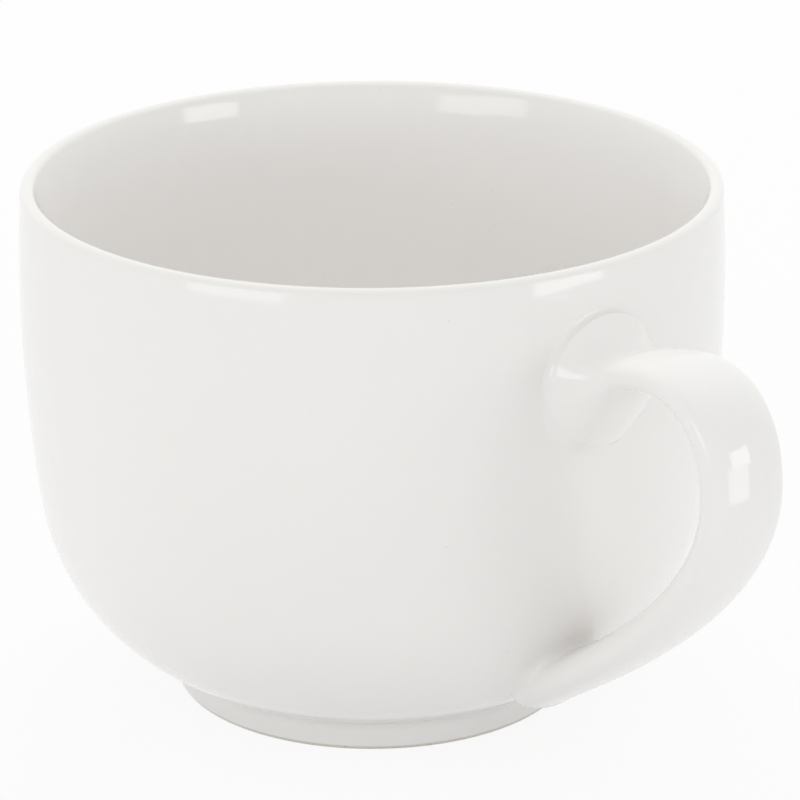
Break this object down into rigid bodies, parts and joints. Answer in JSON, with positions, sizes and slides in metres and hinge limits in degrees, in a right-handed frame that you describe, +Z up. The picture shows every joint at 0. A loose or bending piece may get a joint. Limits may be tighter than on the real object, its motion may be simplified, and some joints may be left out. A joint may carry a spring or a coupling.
{
  "type": "soup mug",
  "caption": "Wide, deep white glazed ceramic soup mug on a low foot ring, with an ear-shaped strap handle flared to a round pad at its upper root.",
  "frame": {"origin": "on the bowl's axis, in the plane that the foot ring stands on", "axes": "+Z up along the bowl's axis, +X from the axis towards the handle, Y across the handle"},
  "size_m": [0.1488, 0.114, 0.086],
  "materials": {
    "white_glaze": "glossy warm white glaze",
    "bare_clay": "fired, unglazed, fine matt",
    "slip": "fired slip, matt"
  },
  "bodies": {
    "root": {"bowl": "bare_clay", "handle": "bare_clay", "upper_slip_joint": "slip", "lower_slip_joint": "slip", "inside_glaze": "white_glaze", "outside_glaze": "white_glaze", "handle_glaze": "white_glaze", "underfoot_glaze": "white_glaze"}
  },
  "joints": []
}
